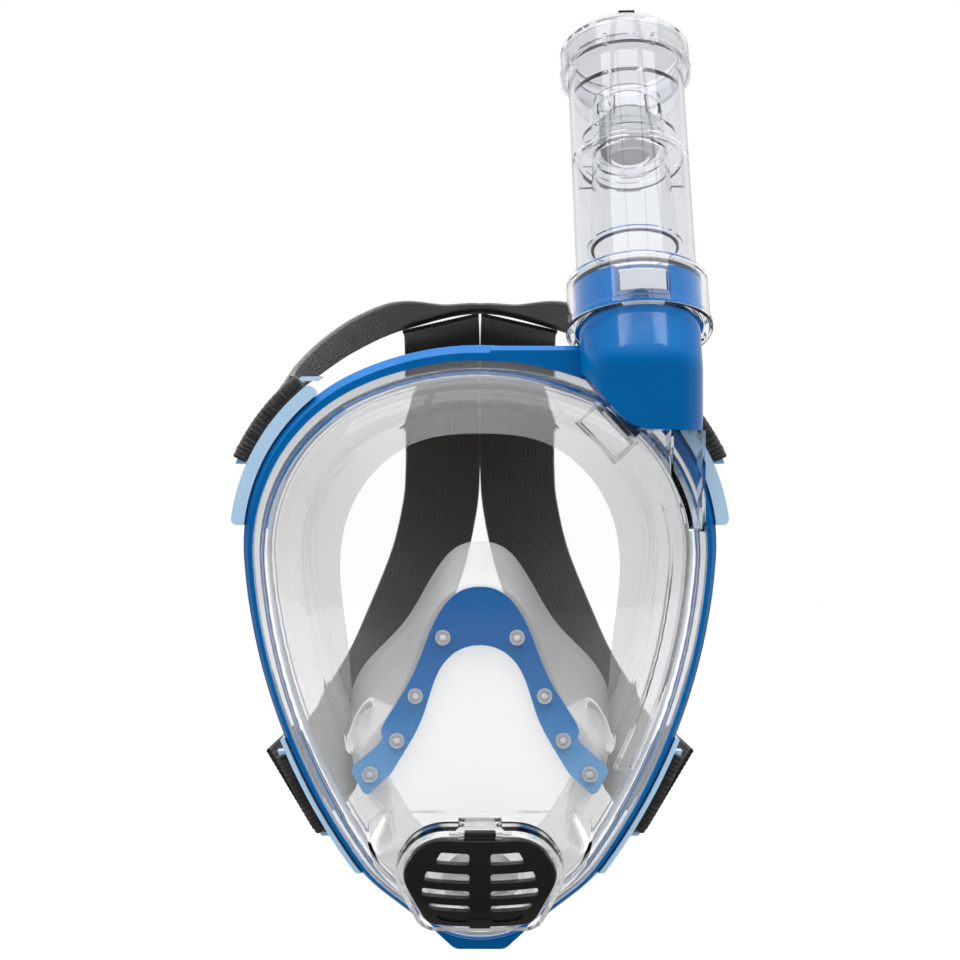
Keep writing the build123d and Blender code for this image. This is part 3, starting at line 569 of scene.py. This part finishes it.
def make_world():
    """White behind the mask, and dimmer in front of it so that glossy faces keep their colour."""
    world = bpy.data.worlds.new("studio")
    world.use_nodes = True
    bpy.context.scene.world = world
    direction = separate(world, node(world, "ShaderNodeTexCoord").outputs["Generated"])
    depth, up = direction["Y"], direction["Z"]
    path = node(world, "ShaderNodeLightPath")
    # Light on surfaces comes mostly from above and from behind; little of it is mirrored
    soft = calculate(world, "ADD", 0.36, spread(world, up, 0.0, 6.3, 0.55, 1.0))
    mirrored_light = calculate(world, "ADD", 0.05, spread(world, up, 0.0, 1.3, 0.35, 1.0))
    overhead = choose(world, path.outputs["Is Glossy Ray"], soft, mirrored_light)
    on_surfaces = calculate(world, "ADD", overhead, spread(world, depth, 0.0, 0.6, -0.2, 1.0))
    # Through clear walls: white straight behind, grey where an edge bends the view aside
    through_clear = spread(world, depth, 0.36, 1.0, -0.1, 0.80)
    after_clear = choose(world, path.outputs["Is Transmission Ray"], on_surfaces, through_clear)
    brightness = choose(world, path.outputs["Is Camera Ray"], after_clear, 1.0)
    background = world.node_tree.nodes["Background"]
    background.inputs["Color"].default_value = (1, 1, 1, 1)
    link(world, brightness, background.inputs["Strength"])


FLOOR_HALF = 3.0
FLOOR_HEIGHT = -0.20


def make_floor():
    """Pale floor below the mask; it neither lights the mask nor shows in its gloss."""
    corners = [(x * FLOOR_HALF, y * FLOOR_HALF, FLOOR_HEIGHT)
               for x, y in ((-1, -1), (1, -1), (1, 1), (-1, 1))]
    mesh = bpy.data.meshes.new("floor")
    mesh.from_pydata(corners, [], [(0, 1, 2, 3)])
    floor = bpy.data.objects.new("floor", mesh)
    bpy.context.scene.collection.objects.link(floor)
    mesh.materials.append(new_material("pale_floor", (0.40, 0.40, 0.40), 0.8))
    floor.visible_diffuse = False
    floor.visible_glossy = False


WINDOW_MIDDLE = Vector((0.06, -0.45, 0.95))
WINDOW_TARGET = Vector((0.06, -0.07, 0.1))
PANE_WIDTH = 0.50
PANE_HEIGHT = 0.24
WINDOW_BAR = 0.03
PANE_WATTS = 1.6


def make_window_light():
    """A softbox with bars, as six panes, above and in front; it shows only in glossy surfaces."""
    look = (WINDOW_TARGET - WINDOW_MIDDLE).normalized()
    turn = look.to_track_quat("-Z", "Y").to_matrix().to_4x4()
    for column in range(3):
        for row in range(2):
            data = bpy.data.lights.new(f"window_pane_{column}_{row}", "AREA")
            data.shape = "RECTANGLE"
            data.size = PANE_WIDTH
            data.size_y = PANE_HEIGHT
            data.energy = PANE_WATTS
            pane = bpy.data.objects.new(data.name, data)
            offset = Matrix.Translation(((column - 1) * (PANE_WIDTH + WINDOW_BAR),
                                         (row - 0.5) * (PANE_HEIGHT + WINDOW_BAR), 0))
            pane.matrix_world = Matrix.Translation(WINDOW_MIDDLE) @ turn @ offset
            pane.visible_camera = False
            pane.visible_diffuse = False
            pane.visible_transmission = False
            bpy.context.scene.collection.objects.link(pane)


CAMERA_PLACE = (0, -0.814, 0.056)
SENSOR_WIDTH = 36
VIEW_DISTANCE = 760
VIEW_WIDTH = 384


def make_camera():
    """Level camera in front of the mask, which sees VIEW_WIDTH across at VIEW_DISTANCE."""
    data = bpy.data.cameras.new("camera")
    data.sensor_width = SENSOR_WIDTH
    data.lens = SENSOR_WIDTH * VIEW_DISTANCE / VIEW_WIDTH
    camera = bpy.data.objects.new("camera", data)
    camera.location = CAMERA_PLACE
    camera.rotation_euler = (radians(90), 0, 0)
    bpy.context.scene.collection.objects.link(camera)
    bpy.context.scene.camera = camera


make_world()
make_floor()
make_window_light()
make_camera()
bpy.context.scene.view_settings.view_transform = "Standard"
bpy.context.scene.cycles.max_bounces = 24
bpy.context.scene.cycles.transmission_bounces = 24
bpy.context.scene.cycles.transparent_max_bounces = 32
